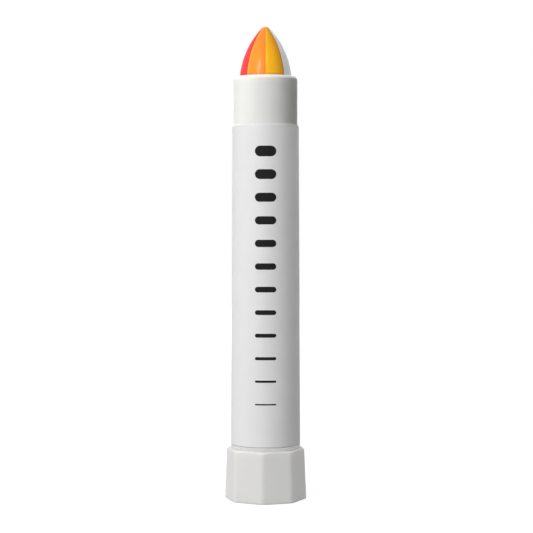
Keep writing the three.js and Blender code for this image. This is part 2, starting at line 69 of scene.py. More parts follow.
def corner_arc(before, corner, after, rounding, steps):
    """Points of the arc that rounds one corner of an outline."""
    into = (Vector(before) - Vector(corner)).normalized()
    out = (Vector(after) - Vector(corner)).normalized()
    half = into.angle(out) / 2
    reach = rounding / math.tan(half)
    centre = Vector(corner) + (into + out).normalized() * (rounding / math.sin(half))
    first = Vector(corner) + into * reach - centre
    last = Vector(corner) + out * reach - centre
    sweep = last.to_3d().cross(first.to_3d()).z
    turn = math.copysign(first.angle(last), -sweep)
    points = []
    for step in range(steps + 1):
        angle = turn * step / steps
        x = first.x * math.cos(angle) - first.y * math.sin(angle)
        y = first.x * math.sin(angle) + first.y * math.cos(angle)
        points.append(centre + Vector((x, y)))
    return points


def soft_outline(corners, steps=4):
    """A closed outline of (radius, height, rounding) with round corners and extra points along each edge."""
    arcs = []
    for i, (radius, height, rounding) in enumerate(corners):
        before = corners[i - 1][:2]
        after = corners[(i + 1) % len(corners)][:2]
        if rounding:
            arcs.append(corner_arc(before, (radius, height), after, rounding, steps))
        else:
            arcs.append([Vector((radius, height))])
    outline = []
    for arc, following in zip(arcs, arcs[1:] + arcs[:1]):
        outline.extend(arc)
        start, end = arc[-1], following[0]
        length = (end - start).length
        if length > 4 * EDGE_SUPPORT:
            along = (end - start) / length
            outline.append(start + along * EDGE_SUPPORT)
            outline.append(end - along * EDGE_SUPPORT)
    return outline


def shade_smooth(mesh):
    """Smooth shading, in which edges sharper than the sharp angle stay crisp."""
    mesh.polygons.foreach_set("use_smooth", [True] * len(mesh.polygons))
    mesh.set_sharp_from_angle(angle=SHARP_ANGLE)


def new_piece(name, points, faces):
    """A smooth-shaded mesh object with its normals outwards."""
    mesh = bpy.data.meshes.new(name)
    mesh.from_pydata([tuple(point) for point in points], [], faces)
    shape = bmesh.new()
    shape.from_mesh(mesh)
    bmesh.ops.remove_doubles(shape, verts=shape.verts, dist=1e-7)
    bmesh.ops.dissolve_degenerate(shape, edges=shape.edges, dist=1e-7)
    bmesh.ops.recalc_face_normals(shape, faces=shape.faces)
    shape.to_mesh(mesh)
    shape.free()
    shade_smooth(mesh)
    piece = bpy.data.objects.new(name, mesh)
    bpy.context.scene.collection.objects.link(piece)
    return piece


def turned(name, outline, steps=ROUND_STEPS, start=0.0, sweep=2 * math.pi):
    """A closed outline turned round the axis, or through part of a turn, which leaves two flat ends."""
    whole = sweep > 2 * math.pi - 1e-9
    columns = steps if whole else steps + 1
    count = len(outline)
    points = []
    for column in range(columns):
        angle = start + sweep * column / steps
        for point in outline:
            points.append((point[0] * math.cos(angle), point[0] * math.sin(angle), point[1]))
    faces = []
    for column in range(steps):
        here = column * count
        beside = ((column + 1) % columns) * count
        for i in range(count):
            following = (i + 1) % count
            faces.append((here + i, beside + i, beside + following, here + following))
    if not whole:
        faces.append(tuple(range(count)))
        faces.append(tuple(reversed(range(steps * count, (steps + 1) * count))))
    return new_piece(name, points, faces)


def cut_away(piece, blocks):
    """Cuts blocks out of a piece for good, and removes them."""
    for block in blocks:
        cutter = piece.modifiers.new("cut", "BOOLEAN")
        cutter.operation = "DIFFERENCE"
        cutter.solver = "EXACT"
        cutter.object = block
    bpy.context.view_layer.update()
    evaluated = piece.evaluated_get(bpy.context.evaluated_depsgraph_get())
    mesh = bpy.data.meshes.new_from_object(evaluated)
    piece.modifiers.clear()
    piece.data = mesh
    shade_smooth(mesh)
    for block in blocks:
        bpy.data.objects.remove(block)


def box_between(name, low, high):
    """A plain block from its lowest to its highest corner."""
    points = []
    for x in (low[0], high[0]):
        for y in (low[1], high[1]):
            for z in (low[2], high[2]):
                points.append((x, y, z))
    faces = [(0, 1, 3, 2), (4, 6, 7, 5), (0, 4, 5, 1), (2, 3, 7, 6), (0, 2, 6, 4), (1, 5, 7, 3)]
    return new_piece(name, points, faces)


def body_radius(height):
    """Radius of the drafted body at a height."""
    share = (height - BODY_BOTTOM) / (SHOULDER_HEIGHT - BODY_BOTTOM)
    return TAIL_RADIUS + (SHOULDER_RADIUS - TAIL_RADIUS) * share


barrel = turned("barrel_shell", soft_outline([
    (PLUG_SEAT_RADIUS, SPIGOT_BOTTOM, 0.08 * MM),
    (SPIGOT_RADIUS, SPIGOT_BOTTOM, 0.3 * MM),
    (SPIGOT_RADIUS, BODY_BOTTOM, 0.1 * MM),
    (TAIL_RADIUS, BODY_BOTTOM, 0.12 * MM),
    (SHOULDER_RADIUS, SHOULDER_HEIGHT, 0.03 * MM),
    (NOSE_RADIUS, SHOULDER_HEIGHT, 0.08 * MM),
    (NOSE_RADIUS, RIM_HEIGHT, 0.85 * MM),
    (BORE_RADIUS, RIM_HEIGHT, 0.25 * MM),
    (BORE_RADIUS, PLUG_TOP, 0.02 * MM),
    (PLUG_SEAT_RADIUS, PLUG_TOP, 0.05 * MM),
], steps=8))
keyways = []
for side in (-1, 1):
    inner, outer = sorted((side * (BORE_RADIUS - KEYWAY_OVERLAP), side * KEYWAY_RADIUS))
    keyways.append(box_between(
        "keyway",
        (inner, -KEYWAY_WIDTH / 2, SPIGOT_BOTTOM - 2 * KEYWAY_OVERLAP),
        (outer, KEYWAY_WIDTH / 2, KEYWAY_TOP),
    ))
cut_away(barrel, keyways)


def add_node(tree, kind, inputs=None, **settings):
    """A node with its settings and inputs. An input is given a plain value or the socket that feeds it."""
    node = tree.nodes.new(kind)
    for name, value in settings.items():
        setattr(node, name, value)
    for name, value in (inputs or {}).items():
        if isinstance(value, bpy.types.NodeSocket):
            tree.links.new(value, node.inputs[name])
        else:
            node.inputs[name].default_value = value
    return node


def math_node(tree, operation, first, second=0.0, third=0.0):
    """The result of one sum on numbers or sockets."""
    return add_node(tree, "ShaderNodeMath", {0: first, 1: second, 2: third}, operation=operation).outputs[0]


def blend_colours(tree, share, first, second, way="MIX"):
    """Two colours blended by a share from 0 to 1."""
    inputs = {0: share, 6: first, 7: second}
    mixed = add_node(tree, "ShaderNodeMix", inputs, data_type="RGBA", blend_type=way)
    return mixed.outputs[2]


def spread(tree, value, low, high, new_low=0.0, new_high=1.0, way="SMOOTHSTEP"):
    """A value's range carried over to another, and held at both ends."""
    inputs = {0: value, 1: low, 2: high, 3: new_low, 4: new_high}
    return add_node(tree, "ShaderNodeMapRange", inputs, interpolation_type=way).outputs[0]


def noise_at(tree, place, per_mm, stretch=(1, 1, 1), detail=2.0):
    """Soft noise from 0 to 1, with so many features in a millimetre, drawn out where stretch is small."""
    scaled = add_node(tree, "ShaderNodeVectorMath", {0: place, 1: stretch}, operation="MULTIPLY").outputs[0]
    inputs = {"Vector": scaled, "Scale": per_mm / MM, "Detail": detail}
    return add_node(tree, "ShaderNodeTexNoise", inputs).outputs[0]


def new_group(name, inputs, outputs):
    """An empty effect with named inputs, each (name, kind, value), and named outputs, each (name, kind)."""
    group = bpy.data.node_groups.new(name, "ShaderNodeTree")
    for socket_name, kind, value in inputs:
        socket = group.interface.new_socket(socket_name, in_out="INPUT", socket_type=kind)
        socket.default_value = value
    for socket_name, kind in outputs:
        group.interface.new_socket(socket_name, in_out="OUTPUT", socket_type=kind)
    given = group.nodes.new("NodeGroupInput").outputs
    result = group.nodes.new("NodeGroupOutput").inputs
    return group, given, result


def moulded_skin():
    """Moulded plastic: faint flow marks, a fine orange peel, hairline scuffs and a little settled dust."""
    group, given, result = new_group(
        "moulded_skin",
        [
            ("Colour", "NodeSocketColor", WHITE_PLASTIC),
            ("Roughness", "NodeSocketFloat", 0.3),
            ("Scuffs", "NodeSocketFloat", 0.5),
        ],
        [
            ("Colour", "NodeSocketColor"),
            ("Roughness", "NodeSocketFloat"),
            ("Height", "NodeSocketFloat"),
        ],
    )
    place = add_node(group, "ShaderNodeTexCoord").outputs["Object"]
    flow = noise_at(group, place, 0.12, stretch=(1, 1, 0.3))
    peel = noise_at(group, place, 2.5)
    grain = noise_at(group, place, 9)
    scuff_noise = noise_at(group, place, 1.6, stretch=(1, 1, 0.06), detail=5)
    scuffs = spread(group, scuff_noise, 0.66, 0.76)
    dust = spread(group, noise_at(group, place, 5, detail=1), 0.74, 0.8)
    shade = spread(group, flow, 0.3, 0.7, 0.975, 1.0)
    toned = blend_colours(group, 1.0, given["Colour"], shade, "MULTIPLY")
    scuff_share = math_node(group, "MULTIPLY", scuffs, given["Scuffs"])
    pale_scuffs = math_node(group, "MULTIPLY", scuff_share, 0.08)
    worn = blend_colours(group, pale_scuffs, toned, SCUFFED_PLASTIC)
    group.links.new(worn, result["Colour"])
    rough_flow = spread(group, flow, 0.3, 0.7, -0.03, 0.03)
    rough_grain = spread(group, grain, 0.3, 0.7, -0.02, 0.02)
    rough = math_node(group, "ADD", given["Roughness"], math_node(group, "ADD", rough_flow, rough_grain))
    rough = math_node(group, "MULTIPLY_ADD", scuff_share, 0.16, rough)
    rough = math_node(group, "MULTIPLY_ADD", dust, 0.1, rough)
    group.links.new(rough, result["Roughness"])
    height = math_node(group, "MULTIPLY_ADD", grain, 0.25, peel)
    height = math_node(group, "MULTIPLY_ADD", scuff_share, -0.4, height)
    height = math_node(group, "MULTIPLY_ADD", dust, 0.5, height)
    group.links.new(height, result["Height"])
    return group


def new_material(name):
    """A material with its shader, and the tree that they stand in."""
    material = bpy.data.materials.new(name)
    material.use_nodes = True
    tree = material.node_tree
    return material, tree, tree.nodes["Principled BSDF"]


def set_inputs(shader, values):
    """Gives the shader plain values, by the names of its inputs."""
    for name, value in values.items():
        shader.inputs[name].default_value = value


def bump_from(tree, shader, height, depth):
    """Feeds a height, about 0 to 1, to the shader as relief of a real depth."""
    bump = add_node(tree, "ShaderNodeBump", {"Height": height, "Distance": depth})
    tree.links.new(bump.outputs["Normal"], shader.inputs["Normal"])


moulded = moulded_skin()


def moulded_material(name, colour, roughness, scuffs=0.5, shader_inputs=None):
    """Moulded plastic of one colour, with any plain values that its shader has besides."""
    material, tree, shader = new_material(name)
    inputs = {"Colour": colour, "Roughness": roughness, "Scuffs": scuffs}
    skin = add_node(tree, "ShaderNodeGroup", inputs, node_tree=moulded)
    tree.links.new(skin.outputs["Colour"], shader.inputs["Base Color"])
    tree.links.new(skin.outputs["Roughness"], shader.inputs["Roughness"])
    bump_from(tree, shader, skin.outputs["Height"], PEEL_DEPTH)
    set_inputs(shader, shader_inputs or {})
    return material


white_plastic = moulded_material("white_plastic", WHITE_PLASTIC, roughness=0.3, shader_inputs={
    "Specular IOR Level": 0.04,
    "Subsurface Weight": 1,
    "Subsurface Radius": (1, 0.95, 0.85),
    "Subsurface Scale": 2 * MM,
})
barrel.data.materials.append(white_plastic)
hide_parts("barrel")
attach(barrel, "barrel")


# Label: a thin grey film wrapped round the body, its two edges meeting at the back. It is printed with
# a plain scale of strokes, thick to thin, in black.
LABEL_BOTTOM = 13.76 * MM
LABEL_TOP = 92.25 * MM
LABEL_THICKNESS = 0.13 * MM
LABEL_SEAT = 0.02 * MM
LABEL_SEAM = 0.08 * MM
LABEL_GREY = (0.73, 0.73, 0.73, 1)
PALE_EDGE_AND_HIGHLIGHT = (0.8, 0.8, 0.8, 1)
INK = (0.009, 0.009, 0.01, 1)
STROKES = 12
STROKE_TOP = 85.85 * MM
STROKE_PITCH = 5.6 * MM
STROKE_WIDTH = 5.2 * MM
STROKE_THICKEST = 2.6 * MM
STROKE_THINNEST = 0.35 * MM
STROKE_EDGE = 0.02 * MM
STROKE_RAGGEDNESS = 0.012 * MM
FIBRE_DEPTH = 0.004 * MM

seam_angle = LABEL_SEAM / body_radius(LABEL_BOTTOM)
label = turned(
    "label_film",
    soft_outline([
        (body_radius(LABEL_BOTTOM) + LABEL_SEAT, LABEL_BOTTOM, 0.02 * MM),
        (body_radius(LABEL_BOTTOM) + LABEL_SEAT + LABEL_THICKNESS, LABEL_BOTTOM, 0.05 * MM),
        (body_radius(LABEL_TOP) + LABEL_SEAT + LABEL_THICKNESS, LABEL_TOP, 0.05 * MM),
        (body_radius(LABEL_TOP) + LABEL_SEAT, LABEL_TOP, 0.02 * MM),
    ]),
    start=math.pi / 2 + seam_angle / 2,
    sweep=2 * math.pi - seam_angle,
)


def label_material():
    """Satin film with a metallic sheen: a speckled grey print, black strokes, and a pale cut edge that is
    partly bare film and partly a painted highlight.
    """
    material, tree, shader = new_material("label_film")
    set_inputs(shader, {"Metallic": 0.24, "Specular IOR Level": 0.15})
    place = add_node(tree, "ShaderNodeTexCoord").outputs["Object"]
    axes = add_node(tree, "ShaderNodeSeparateXYZ", {0: place}).outputs
    across, depth, height = axes["X"], axes["Y"], axes["Z"]
    drop = math_node(tree, "DIVIDE", math_node(tree, "SUBTRACT", STROKE_TOP, height), STROKE_PITCH)
    number = math_node(tree, "ROUND", drop)
    offset = math_node(tree, "MULTIPLY", math_node(tree, "SUBTRACT", drop, number), STROKE_PITCH)
    thickness = spread(tree, number, 0, STROKES - 1, STROKE_THICKEST, STROKE_THINNEST, "LINEAR")
    half = math_node(tree, "MULTIPLY", thickness, 0.5)
    straight = math_node(tree, "SUBTRACT", STROKE_WIDTH / 2, half)
    sideways = math_node(tree, "SUBTRACT", math_node(tree, "ABSOLUTE", across), straight)
    beyond = math_node(tree, "MAXIMUM", sideways, 0)
    from_end = add_node(tree, "ShaderNodeCombineXYZ", {0: beyond, 1: offset}).outputs[0]
    length = add_node(tree, "ShaderNodeVectorMath", {0: from_end}, operation="LENGTH").outputs["Value"]
    distance = math_node(tree, "SUBTRACT", length, half)
    ragged = spread(tree, noise_at(tree, place, 6), 0.3, 0.7, -STROKE_RAGGEDNESS, STROKE_RAGGEDNESS)
    distance = math_node(tree, "ADD", distance, ragged)
    stroke = spread(tree, distance, -STROKE_EDGE, STROKE_EDGE, 1, 0)
    in_column = math_node(tree, "COMPARE", number, (STROKES - 1) / 2, STROKES / 2)
    in_front = math_node(tree, "LESS_THAN", depth, 0)
    inked = math_node(tree, "MULTIPLY", math_node(tree, "MULTIPLY", stroke, in_column), in_front)

    speckle = spread(tree, noise_at(tree, place, 7, detail=3), 0.35, 0.65, 0.985, 1.0)
    mottle = spread(tree, noise_at(tree, place, 0.15), 0.3, 0.7, 0.985, 1.0)
    shade = math_node(tree, "MULTIPLY", speckle, mottle)
    grey = blend_colours(tree, 1.0, LABEL_GREY, shade, "MULTIPLY")
    # Paler towards the top and bottom edges: partly the bare cut film, partly a painted highlight along the
    # edges.
    from_top = math_node(tree, "SUBTRACT", LABEL_TOP, height)
    from_bottom = math_node(tree, "SUBTRACT", height, LABEL_BOTTOM)
    cut_edge_and_highlight = spread(tree, math_node(tree, "MINIMUM", from_top, from_bottom), 0.02 * MM, 0.09 * MM, 0.5, 0)
    grey = blend_colours(tree, cut_edge_and_highlight, grey, PALE_EDGE_AND_HIGHLIGHT)
    colour = blend_colours(tree, inked, grey, INK)
    tree.links.new(colour, shader.inputs["Base Color"])
    rough_paper = spread(tree, noise_at(tree, place, 0.35, detail=4), 0.3, 0.7, 0.58, 0.66)
    rough = math_node(tree, "MULTIPLY_ADD", inked, -0.06, rough_paper)
    tree.links.new(rough, shader.inputs["Roughness"])
    fibre = noise_at(tree, place, 5, stretch=(1, 1, 0.5), detail=3)
    relief = math_node(tree, "MULTIPLY_ADD", inked, 0.6, fibre)
    bump_from(tree, shader, relief, FIBRE_DEPTH)
    return material


label.data.materials.append(label_material())
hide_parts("label")
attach(label, "barrel")


# End plug and seal ring: the plug closes the tail of the barrel and holds the screw's journal, and a
# black rubber ring in its pocket keeps the paint from drying out. Both sit inside, out of sight.
INNER_PLASTIC = (0.78, 0.78, 0.76, 1)
RUBBER = (0.012, 0.012, 0.013, 1)
RUBBER_BLOOM = (0.03, 0.03, 0.031, 1)
RUBBER_GRAIN_DEPTH = 0.01 * MM


def dress_node(name, material):
    """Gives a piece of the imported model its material, in place of the plain one."""
    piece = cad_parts[name]
    piece.data.materials.clear()
    piece.data.materials.append(material)


def rubber_material():
    """Matt black rubber with a fine bloom and mould grain."""
    material, tree, shader = new_material("seal_rubber")
    place = add_node(tree, "ShaderNodeTexCoord").outputs["Object"]
    bloom = spread(tree, noise_at(tree, place, 0.8, detail=4), 0.4, 0.7)
    colour = blend_colours(tree, bloom, RUBBER, RUBBER_BLOOM)
    tree.links.new(colour, shader.inputs["Base Color"])
    tree.links.new(spread(tree, bloom, 0, 1, 0.6, 0.75), shader.inputs["Roughness"])
    bump_from(tree, shader, noise_at(tree, place, 8, detail=3), RUBBER_GRAIN_DEPTH)
    return material


dress_node("end_plug", moulded_material("plug_plastic", INNER_PLASTIC, roughness=0.4))
dress_node("seal_ring", rubber_material())


# Knob: an eight-sided cup of milky, slightly translucent plastic that the marker stands on. It slips
# over the barrel's spigot and is pressed on the screw's six-sided foot. Its rim is crowned, with a round
# neck on it that meets the body, and its base has a round recess.
KNOB_SIDES = 8
KNOB_HEIGHT = 12.75 * MM
KNOB_BASE_SIDE = 9.5 * MM
KNOB_RIM_SIDE = 9.02 * MM
KNOB_BORE_RADIUS = 7.83 * MM
KNOB_CORNER_ROUNDING = 1.8 * MM
KNOB_CORNER_REACH = math.radians(4.8)
KNOB_BASE_ROUNDING = 0.3 * MM
KNOB_RIM_ROUNDING = 0.25 * MM
KNOB_CROWN_RADIUS = 1.65 * MM
KNOB_NECK_RADIUS = 8.56 * MM
KNOB_NECK_TOP = 13.68 * MM
KNOB_NECK_ROUNDING = 0.05 * MM
KNOB_NECK_ARC_INSET = 0.015 * MM
KNOB_MOUTH_ROUNDING = 0.25 * MM
KNOB_MOUTH_ARC_INSET = 0.07 * MM
KNOB_TURN = math.radians(-5)
KNOB_FLOOR_TOP = 1.8 * MM
KNOB_RECESS_RADIUS = 7.11 * MM
KNOB_RECESS_DEPTH = 0.6 * MM
KNOB_RECESS_ROUNDING = 0.1 * MM
KNOB_FLOOR_ROUNDING = 0.25 * MM
KNOB_HUB_RADIUS = 4.26 * MM
KNOB_HUB_TOP = 8.53 * MM
KNOB_HUB_ROUNDING = 0.2 * MM
KNOB_SOCKET_SIDES = 6
KNOB_SOCKET_SIDE = 2.22 * MM
KNOB_SOCKET_ROUNDING = 0.05 * MM
KNOB_SOCKET_BOTTOM = 2.78 * MM
KNOB_EDGE_SUPPORT = 0.3 * MM
KNOB_SIDE_RINGS = (0.5 * MM, 3 * MM, 6 * MM, 9 * MM, 11.5 * MM)
MILKY_PLASTIC = (0.685, 0.68, 0.664, 1)
CORNER_STEPS = 10
SIDE_STEPS = 14
ROUNDING_STEPS = 7


def knob_angles():
    """Angles round the axis, close together at the knob's eight corners."""
    half_side = math.pi / KNOB_SIDES
    angles = []
    for corner in range(KNOB_SIDES):
        middle = KNOB_TURN - math.pi / 2 + 2 * half_side * corner
        for step in range(CORNER_STEPS):
            angles.append(middle + KNOB_CORNER_REACH * (2 * step / CORNER_STEPS - 1))
        for step in range(SIDE_STEPS):
            share = step / SIDE_STEPS
            angles.append(middle + KNOB_CORNER_REACH + (2 * half_side - 2 * KNOB_CORNER_REACH) * share)
    return angles


def sided_radius(angle, side, rounding, sides, turn):
    """Distance from the axis to a polygon with rounded corners, where side is its distance at mid side."""
    half_side = math.pi / sides
    from_corner = (angle - turn + math.pi / 2 + half_side) % (2 * half_side) - half_side
    centre = (side - rounding) / math.cos(half_side)
    from_middle = half_side - abs(from_corner)
    if math.tan(from_middle) * side <= centre * math.sin(half_side):
        return side / math.cos(from_middle)
    swing = centre * math.sin(from_corner)
    return centre * math.cos(from_corner) + math.sqrt(max(rounding ** 2 - swing ** 2, 0))


def knob_skin(height, angle, inset=0):
    """Radius of the knob's eight drafted sides at a height."""
    side = KNOB_BASE_SIDE + (KNOB_RIM_SIDE - KNOB_BASE_SIDE) * height / KNOB_HEIGHT - inset
    return sided_radius(angle, side, KNOB_CORNER_ROUNDING - inset, KNOB_SIDES, KNOB_TURN)


def knob_rim(stage, angle):
    """Radius and height of the rim: its small rounding from stage 0 to 1, then the crown in to the neck."""
    side = knob_skin(KNOB_HEIGHT, angle)
    reach = side - KNOB_RIM_ROUNDING - KNOB_NECK_RADIUS
    rise = math.sqrt((KNOB_CROWN_RADIUS - KNOB_RIM_ROUNDING) ** 2 - reach ** 2)
    crown_centre = KNOB_HEIGHT - KNOB_CROWN_RADIUS
    meet = math.atan2(rise, reach)
    if stage <= 1:
        radius = side - KNOB_RIM_ROUNDING + KNOB_RIM_ROUNDING * math.cos(meet * stage)
        return radius, crown_centre + rise + KNOB_RIM_ROUNDING * math.sin(meet * stage)
    lift = meet + (math.pi / 2 - meet) * (stage - 1)
    radius = KNOB_NECK_RADIUS + KNOB_CROWN_RADIUS * math.cos(lift)
    return radius, crown_centre + KNOB_CROWN_RADIUS * math.sin(lift)


def knob_levels():
    """The knob's skin, from the recess round to the socket: functions from an angle to (radius, height)."""
    def circle(radius, height):
        return lambda angle: (radius, height)

    def outside(height, inset=0):
        return lambda angle: (knob_skin(height, angle, inset), height)

    def rim(stage):
        return lambda angle: knob_rim(stage, angle)

    def socket(height):
        def edge(angle):
            return sided_radius(angle, KNOB_SOCKET_SIDE, KNOB_SOCKET_ROUNDING, KNOB_SOCKET_SIDES, 0)
        return lambda angle: (edge(angle), height)

    levels = [
        circle(0, KNOB_RECESS_DEPTH),
        circle(KNOB_RECESS_RADIUS - KNOB_EDGE_SUPPORT, KNOB_RECESS_DEPTH),
        circle(KNOB_RECESS_RADIUS - KNOB_RECESS_ROUNDING, KNOB_RECESS_DEPTH),
        circle(KNOB_RECESS_RADIUS, KNOB_RECESS_DEPTH - KNOB_RECESS_ROUNDING),
        circle(KNOB_RECESS_RADIUS, KNOB_RECESS_ROUNDING),
        circle(KNOB_RECESS_RADIUS + KNOB_RECESS_ROUNDING, 0),
        circle(KNOB_RECESS_RADIUS + KNOB_EDGE_SUPPORT, 0),
        outside(0, KNOB_BASE_ROUNDING + KNOB_EDGE_SUPPORT),
    ]
    for step in range(ROUNDING_STEPS + 1):
        angle = math.pi / 2 * step / ROUNDING_STEPS
        rise = KNOB_BASE_ROUNDING * (1 - math.cos(angle))
        levels.append(outside(rise, KNOB_BASE_ROUNDING * (1 - math.sin(angle))))
    for height in KNOB_SIDE_RINGS:
        levels.append(outside(height))
    for step in range(2 * ROUNDING_STEPS + 1):
        levels.append(rim(step / ROUNDING_STEPS))
    levels.extend([
        circle(KNOB_NECK_RADIUS, KNOB_HEIGHT + KNOB_NECK_ROUNDING),
        circle(KNOB_NECK_RADIUS, KNOB_NECK_TOP - KNOB_NECK_ROUNDING),
        circle(KNOB_NECK_RADIUS - KNOB_NECK_ARC_INSET, KNOB_NECK_TOP - KNOB_NECK_ARC_INSET),
        circle(KNOB_NECK_RADIUS - KNOB_NECK_ROUNDING, KNOB_NECK_TOP),
        circle(KNOB_BORE_RADIUS + KNOB_MOUTH_ROUNDING, KNOB_NECK_TOP),
        circle(KNOB_BORE_RADIUS + KNOB_MOUTH_ARC_INSET, KNOB_NECK_TOP - KNOB_MOUTH_ARC_INSET),
        circle(KNOB_BORE_RADIUS, KNOB_NECK_TOP - KNOB_MOUTH_ROUNDING),
        circle(KNOB_BORE_RADIUS, KNOB_FLOOR_TOP + KNOB_EDGE_SUPPORT),
        circle(KNOB_BORE_RADIUS - 0.05 * MM, KNOB_FLOOR_TOP + 0.1 * MM),
        circle(KNOB_BORE_RADIUS - KNOB_FLOOR_ROUNDING, KNOB_FLOOR_TOP),
        circle(KNOB_HUB_RADIUS + KNOB_FLOOR_ROUNDING, KNOB_FLOOR_TOP),
        circle(KNOB_HUB_RADIUS, KNOB_FLOOR_TOP + KNOB_FLOOR_ROUNDING),
        circle(KNOB_HUB_RADIUS, KNOB_HUB_TOP - KNOB_HUB_ROUNDING),
        circle(KNOB_HUB_RADIUS - KNOB_HUB_ROUNDING, KNOB_HUB_TOP),
        socket(KNOB_HUB_TOP),
        socket(KNOB_SOCKET_BOTTOM),
        circle(0, KNOB_SOCKET_BOTTOM),
    ])
    return levels


def lofted(name, levels, angles):
    """Levels, each a function from an angle to (radius, height), joined by a skin that closes on the axis."""
    points = []
    for level in levels:
        for angle in angles:
            radius, height = level(angle)
            points.append((radius * math.cos(angle), radius * math.sin(angle), height))
    count = len(angles)
    faces = []
    for level in range(len(levels) - 1):
        for i in range(count):
            beside = (i + 1) % count
            low = level * count
            faces.append((low + i, low + beside, low + count + beside, low + count + i))
    return new_piece(name, points, faces)


knob = lofted("knob_cup", knob_levels(), knob_angles())
milky_plastic = moulded_material("milky_plastic", MILKY_PLASTIC, roughness=0.55, shader_inputs={
    "Metallic": 0.25,
    "IOR": 1.8,
    "Specular IOR Level": 1,
    "Subsurface Weight": 1,
    "Subsurface Radius": (1, 1, 1),
    "Subsurface Scale": 2.4 * MM,
})
knob.data.materials.append(milky_plastic)
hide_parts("knob")
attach(knob, "knob")


# Spindle: the left-hand screw, moulded with its flange, journal and snap bead. It turns with the knob
# and stays hidden in the barrel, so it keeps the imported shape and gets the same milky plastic.
spindle_translucency = {"Subsurface Weight": 0.3, "Subsurface Scale": 1.5 * MM}
spindle_plastic = moulded_material("spindle_plastic", MILKY_PLASTIC, 0.45, 0.8, spindle_translucency)
dress_node("spindle", spindle_plastic)


# Carrier: the white moulded cup and nut that climb the screw and push the stick out. Its keys run in the
# barrel's keyways. It is hidden as well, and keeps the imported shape.
dress_node("carrier", moulded_material("carrier_plastic", INNER_PLASTIC, roughness=0.42, scuffs=0.8))


# Stick of paint: eight sectors of solid, waxy paint, cast side by side, which run from the carrier's cup
# to the ogive tip. They have a waxy sheen, fine streaks along the stick and crisp joints.
STICK_RADIUS = 6.5 * MM
TIP_SIDE_RADIUS = 20 * MM
TIP_POINT_RADIUS = 1.45 * MM
TIP_PROJECTION = 12.37 * MM
FOOT_HEIGHT = 30.27 * MM
FOOT_RADIUS = 5.68 * MM
CUP_TOP = 34.27 * MM
HUB_BORE = 3.67 * MM
HUB_TOP = 36.67 * MM
SPINDLE_BORE = 2.8 * MM
SPINDLE_BORE_TOP = 99.75 * MM
SECTORS = 8
SECTOR_STEPS = 26
STRAIGHT_STEPS = 17
TIP_STEPS = 44
POINT_STEPS = 12
LUMP_SIZE = 2.4 * MM
SMALL_LUMP_SIZE = 1.1 * MM
LUMP_DEPTH = 0.02 * MM
LUMP_MARGIN = 1 * MM
POINT_MARGIN = 0.4 * MM
# Painted shade at the rim, and painted light and shade at the start and end of each sector, reach this far.
RIM_SHADE_ABOVE = 0.6 * MM
RIM_SHADE_BELOW = 1.2 * MM
JOINT_WIDTH = 0.12 * MM
PAINTED_LIGHT_WIDTH = 0.8 * MM
SHADED_SIDE_WIDTH = 0.42 * MM
SHADE_TURN_WIDTH = 2.2 * MM
WARM_SHADE_WIDTH = 2.4 * MM
STREAK_DEPTH = 0.012 * MM
PAINTS = {
    "paint_crimson": "crimson_paint",
    "paint_orange_rear": "orange_paint",
    "paint_yellow_rear": "yellow_paint",
    "paint_white_rear": "white_paint",
    "paint_red": "red_paint",
    "paint_orange_front": "orange_paint",
    "paint_yellow_front": "yellow_paint",
    "paint_white_front": "white_paint",
}
# For each paint: its colour, its deep colour for streaks and painted shade, how far each sector starts paler
# in painted light and ends warmer in painted shade, and its gloss.
PAINT_COLOURS = {
    "crimson_paint": ((0.26, 0.006, 0.03, 1), (0.17, 0.002, 0.015, 1), 0, 0, 0.15),
    "orange_paint": ((0.96, 0.285, 0.018, 1), (0.9, 0.15, 0.004, 1), 1, 0.1, 0.34),
    "yellow_paint": ((1, 0.5, 0.012, 1), (0.48, 0.175, 0.004, 1), 1, 1, 0.15),
    "white_paint": ((0.92, 0.925, 0.95, 1), (0.84, 0.85, 0.9, 1), 0.5, 0, 0.6),
    "red_paint": ((0.92, 0.062, 0.066, 1), (0.86, 0.03, 0.036, 1), 0, 0, 0.02),
}


def tip_outline():
    """The curved side of the tip and the small ball at its point."""
    arc_centre = STICK_RADIUS - TIP_SIDE_RADIUS
    ball_rise = math.sqrt((TIP_SIDE_RADIUS - TIP_POINT_RADIUS) ** 2 - arc_centre ** 2)
    tip_base = RIM_HEIGHT + TIP_PROJECTION - TIP_POINT_RADIUS - ball_rise
    meet_angle = math.atan2(ball_rise, -arc_centre)
    points = []
    for step in range(TIP_STEPS + 1):
        angle = meet_angle * step / TIP_STEPS
        radius = arc_centre + TIP_SIDE_RADIUS * math.cos(angle)
        points.append(Vector((radius, tip_base + TIP_SIDE_RADIUS * math.sin(angle))))
    for step in range(1, POINT_STEPS + 1):
        angle = meet_angle + (math.pi / 2 - meet_angle) * step / POINT_STEPS
        radius = TIP_POINT_RADIUS * math.cos(angle) if step < POINT_STEPS else 0
        points.append(Vector((radius, tip_base + ball_rise + TIP_POINT_RADIUS * math.sin(angle))))
    return points


def stick_outline():
    """Half the section of the stick, from its foot in the cup to the tip and down the screw's bore."""
    tip = tip_outline()
    straight = []
    for step in range(STRAIGHT_STEPS):
        height = CUP_TOP + (tip[0].y - CUP_TOP) * step / STRAIGHT_STEPS
        straight.append(Vector((STICK_RADIUS, height)))
    return [
        Vector((HUB_BORE, FOOT_HEIGHT)),
        Vector((FOOT_RADIUS, FOOT_HEIGHT)),
        Vector((FOOT_RADIUS, CUP_TOP)),
        *straight,
        *tip,
        Vector((0, SPINDLE_BORE_TOP)),
        Vector((SPINDLE_BORE, SPINDLE_BORE_TOP)),
        Vector((SPINDLE_BORE, HUB_TOP)),
        Vector((HUB_BORE, HUB_TOP)),
    ]


